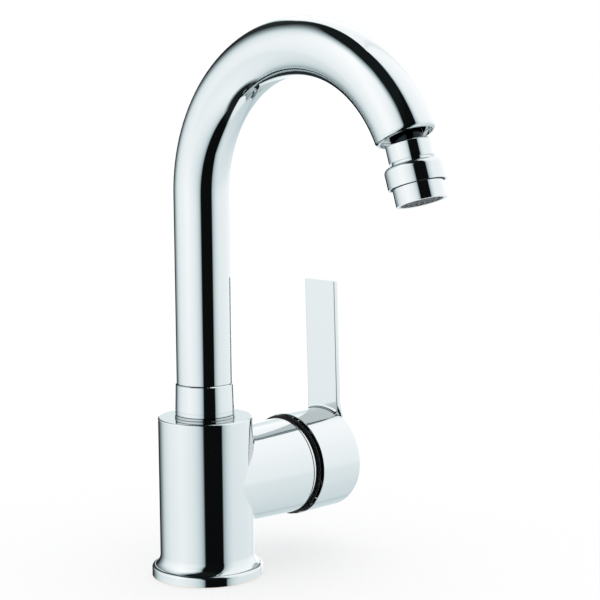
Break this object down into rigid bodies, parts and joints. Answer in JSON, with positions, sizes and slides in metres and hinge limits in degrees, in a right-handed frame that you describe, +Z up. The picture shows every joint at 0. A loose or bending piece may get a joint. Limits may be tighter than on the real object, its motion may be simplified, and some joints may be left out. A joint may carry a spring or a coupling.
{
  "type": "basin mixer tap",
  "caption": "Basin mixer tap with a round body, a swivelling gooseneck spout, a side lever on a ceramic disc cartridge and a tilting ball outlet.",
  "frame": {"origin": "centre of the fixing stud hole's mouth in the foot's underside", "axes": "+Z up along the riser, the spout reaches towards -Y, the lever's axis runs along +X"},
  "size_m": [0.1147, 0.1821, 0.2754],
  "materials": {
    "polished_chrome": "mirror polished plating",
    "bare_brass": "machined",
    "steel": "machined",
    "ceramic": "lapped",
    "white_plastic": "moulded",
    "grey_plastic": "moulded",
    "black_plastic": "moulded satin",
    "black_rubber": "moulded"
  },
  "bodies": {
    "body": {"body_casting": "polished_chrome", "base_gasket": "black_rubber", "cartridge_base": "white_plastic", "cartridge_seals": "black_rubber", "fixed_disc": "ceramic", "cartridge_housing": "white_plastic", "cartridge_nut": "bare_brass", "rim_ring": "polished_chrome", "dome_ring": "black_plastic", "spout_bearing_ring": "polished_chrome", "spout_lock_screw": "steel"},
    "spout": {"spout_tube": "polished_chrome", "spout_collar": "polished_chrome", "spout_nipple": "bare_brass", "spout_o_rings": "black_rubber", "spout_end_bush": "bare_brass", "swivel_neck": "polished_chrome"},
    "outlet_seat": {"ball_seat": "white_plastic", "ball_seal": "black_rubber"},
    "outlet_head": {"swivel_ring": "polished_chrome", "aerator_sleeve": "polished_chrome", "aerator_insert": "grey_plastic", "aerator_washer": "black_rubber"},
    "rotor": {"cartridge_rotor": "white_plastic", "stem_pin": "steel"},
    "discs": {"moving_disc": "ceramic", "disc_carrier": "white_plastic"},
    "lever": {"lever_handle": "polished_chrome", "cartridge_stem": "bare_brass", "grub_screw": "steel", "screw_plug": "grey_plastic"}
  },
  "joints": [
    {"name": "spout_swivel", "type": "hinge", "parent": "body", "child": "spout", "pos_m": [0, 0, 0.081], "axis": [0, 0, 1], "range_deg": [-60, 60]},
    {"name": "temperature_turn", "type": "hinge", "parent": "body", "child": "rotor", "pos_m": [0.04432, 0, 0.0461], "axis": [1, 0, 0], "range_deg": [-50, 50]},
    {"name": "flow_tilt", "type": "hinge", "parent": "rotor", "child": "lever", "pos_m": [0.04432, 0, 0.0461], "axis": [0, 1, 0], "range_deg": [0, 25]},
    {"name": "disc_slide", "type": "slide", "parent": "rotor", "child": "discs", "axis": [0, 0, 1], "range_m": [0, 0.00381]},
    {"name": "head_tilt", "type": "hinge", "parent": "spout", "child": "outlet_seat", "pos_m": [0, -0.13951, 0.20547], "axis": [1, 0, 0], "range_deg": [-7, 7]},
    {"name": "head_spin", "type": "hinge", "parent": "outlet_seat", "child": "outlet_head", "pos_m": [0, -0.13951, 0.20547], "axis": [0, -0.3007, -0.9537], "continuous": true}
  ],
  "couplings": [
    {"joint": "disc_slide", "follows": "flow_tilt", "m_per_rad": 0.008717}
  ]
}
